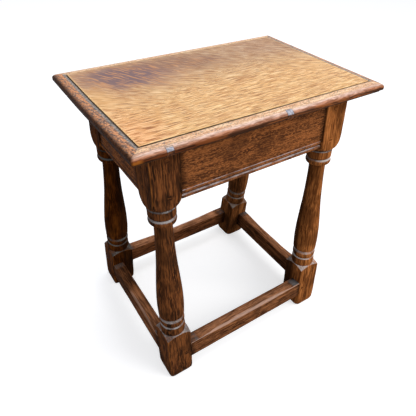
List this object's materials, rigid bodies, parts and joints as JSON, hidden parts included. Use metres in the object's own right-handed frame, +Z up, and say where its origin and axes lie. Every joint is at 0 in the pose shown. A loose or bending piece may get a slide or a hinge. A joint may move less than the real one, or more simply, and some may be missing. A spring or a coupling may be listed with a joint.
{
  "type": "joint stool",
  "caption": "Oak joint stool: rectangular moulded top, splayed turned legs, moulded rails under the top and stretchers near the floor.",
  "frame": {"origin": "on the floor, under the middle of the top", "axes": "+Z up, +X along the length of the top, front at -Y"},
  "size_m": [0.463, 0.3262, 0.52],
  "materials": {
    "oak_top": "waxed, worn and patinated",
    "oak_rails": "waxed, dark patina",
    "oak_legs": "waxed, dark patina",
    "oak_pegs": "waxed, dark patina",
    "steel_screws": "dull, old"
  },
  "bodies": {
    "root": {"top_board": "oak_top", "edge_patches": "oak_top", "top_screws": "steel_screws", "rail_front": "oak_rails", "rail_back": "oak_rails", "rail_left": "oak_rails", "rail_right": "oak_rails", "stretcher_front": "oak_rails", "stretcher_back": "oak_rails", "stretcher_left": "oak_rails", "stretcher_right": "oak_rails", "leg_front_left": "oak_legs", "leg_front_right": "oak_legs", "leg_back_left": "oak_legs", "leg_back_right": "oak_legs", "rail_pegs_front_left": "oak_pegs", "rail_pegs_front_right": "oak_pegs", "rail_pegs_back_left": "oak_pegs", "rail_pegs_back_right": "oak_pegs", "stretcher_pegs_front_left": "oak_pegs", "stretcher_pegs_front_right": "oak_pegs", "stretcher_pegs_back_left": "oak_pegs", "stretcher_pegs_back_right": "oak_pegs"}
  },
  "joints": []
}
